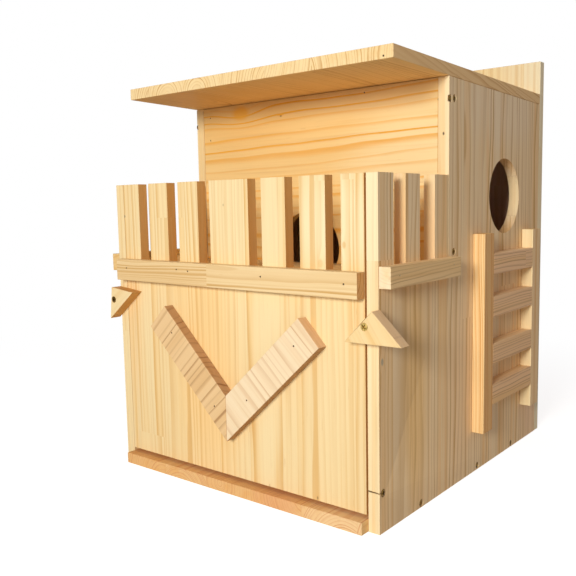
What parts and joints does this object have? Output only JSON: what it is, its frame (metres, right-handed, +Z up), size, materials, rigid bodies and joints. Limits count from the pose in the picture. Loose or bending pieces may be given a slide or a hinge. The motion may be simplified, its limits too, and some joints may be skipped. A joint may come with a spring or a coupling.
{
  "type": "squirrel house",
  "caption": "Wooden squirrel house with picket balcony, sloping roof, round side entrance, side ladder and a drop front held by turning latches.",
  "frame": {"origin": "on the ground, midway between the outer faces of the side panels, in the plane of their front edges", "axes": "+Z up, +Y from the balcony front towards the back board, +X towards the side with the entrance hole and ladder"},
  "size_m": [0.3931, 0.4025, 0.464],
  "materials": {
    "pine": "planed and sanded, unfinished",
    "pine_pale": "planed and sanded, unfinished",
    "yellow_zinc": "yellow zinc plating"
  },
  "bodies": {
    "house": {"floor_board": "pine", "left_side_panel": "pine", "right_side_panel": "pine", "back_panel": "pine", "roof_board": "pine", "upper_front_wall": "pine", "balcony_floor": "pine", "front_flap": "pine", "front_batten": "pine", "left_side_batten": "pine", "right_side_batten": "pine", "v_arm_left": "pine_pale", "v_arm_right": "pine_pale", "left_latch_screw": "yellow_zinc", "right_latch_screw": "yellow_zinc", "left_hinge_screw": "yellow_zinc", "right_hinge_screw": "yellow_zinc", "ladder_front_rail": "pine", "ladder_rear_rail": "pine", "ladder_rung_1": "pine_pale", "ladder_rung_2": "pine_pale", "ladder_rung_3": "pine_pale", "ladder_rung_4": "pine_pale"},
    "left_latch": {"left_latch": "pine"},
    "right_latch": {"right_latch": "pine"}
  },
  "joints": [
    {"name": "left_latch_turn", "type": "hinge", "parent": "house", "child": "left_latch", "pos_m": [-0.171, -0.00715, 0.19207], "axis": [0, -1, 0], "range_deg": [-175, 18]},
    {"name": "right_latch_turn", "type": "hinge", "parent": "house", "child": "right_latch", "pos_m": [0.169, -0.00715, 0.19043], "axis": [0, -1, 0], "range_deg": [-94, 112]}
  ]
}
